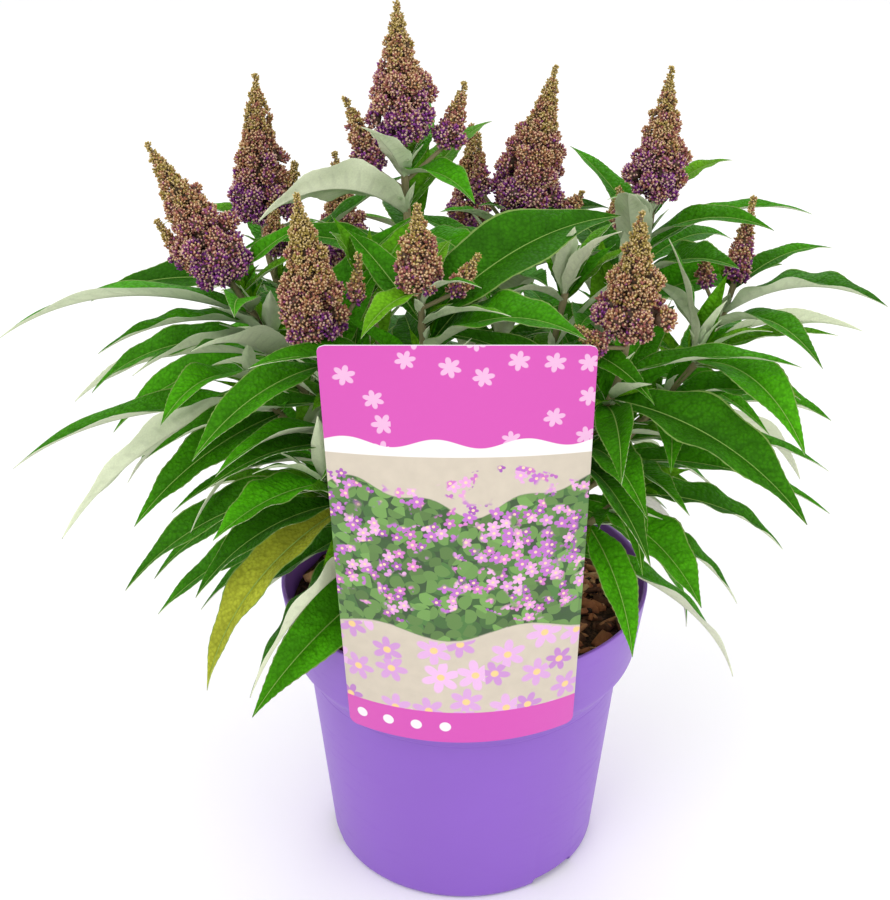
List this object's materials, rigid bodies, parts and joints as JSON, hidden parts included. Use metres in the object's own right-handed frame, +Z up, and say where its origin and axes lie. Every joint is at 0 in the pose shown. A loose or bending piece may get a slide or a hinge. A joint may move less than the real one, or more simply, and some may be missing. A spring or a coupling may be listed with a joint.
{
  "type": "potted butterfly bush",
  "caption": "Young butterfly bush with twelve flower spikes coming into colour, in a purple tapered growers' pot with a card label hung on the rim",
  "frame": {"origin": "middle of the pot's flat underside", "axes": "+Z up along the pot's axis, -Y towards the card label, +X to the right of someone who faces the label"},
  "size_m": [0.416, 0.3077, 0.443],
  "materials": {
    "pot_plastic": "satin purple moulded plastic",
    "compost": "dark damp compost under coarse bark chips",
    "label_card": "printed card with a glossy face",
    "bark": "grey-brown fissured bark",
    "foliage": "quilted dark green leaves with felted pale undersides, and mauve flower buds"
  },
  "bodies": {
    "root": {"bough_back_left": "bark", "bough_back_mid": "bark", "bough_back_right": "bark", "bough_far_left": "bark", "bough_far_right": "bark", "bough_front_left": "bark", "bough_front_mid": "bark", "bough_front_right": "bark", "bough_rear": "bark", "bough_rear_left": "bark", "bough_rear_right": "bark", "bough_top": "bark", "label": "label_card", "pot": "pot_plastic", "shoot_back_left": "foliage", "shoot_back_mid": "foliage", "shoot_back_right": "foliage", "shoot_far_left": "foliage", "shoot_far_right": "foliage", "shoot_front_left": "foliage", "shoot_front_mid": "foliage", "shoot_front_right": "foliage", "shoot_rear": "foliage", "shoot_rear_left": "foliage", "shoot_rear_right": "foliage", "shoot_top": "foliage", "soil": "compost", "spray_front": "foliage", "spray_front_left": "foliage", "spray_front_right": "foliage", "spray_left": "foliage", "spray_low_left": "foliage", "spray_low_right": "foliage", "spray_mid_left": "foliage", "spray_mid_right": "foliage", "spray_rear": "foliage", "spray_rear_left": "foliage", "spray_rear_right": "foliage", "spray_right": "foliage", "trunk": "bark"}
  },
  "joints": []
}
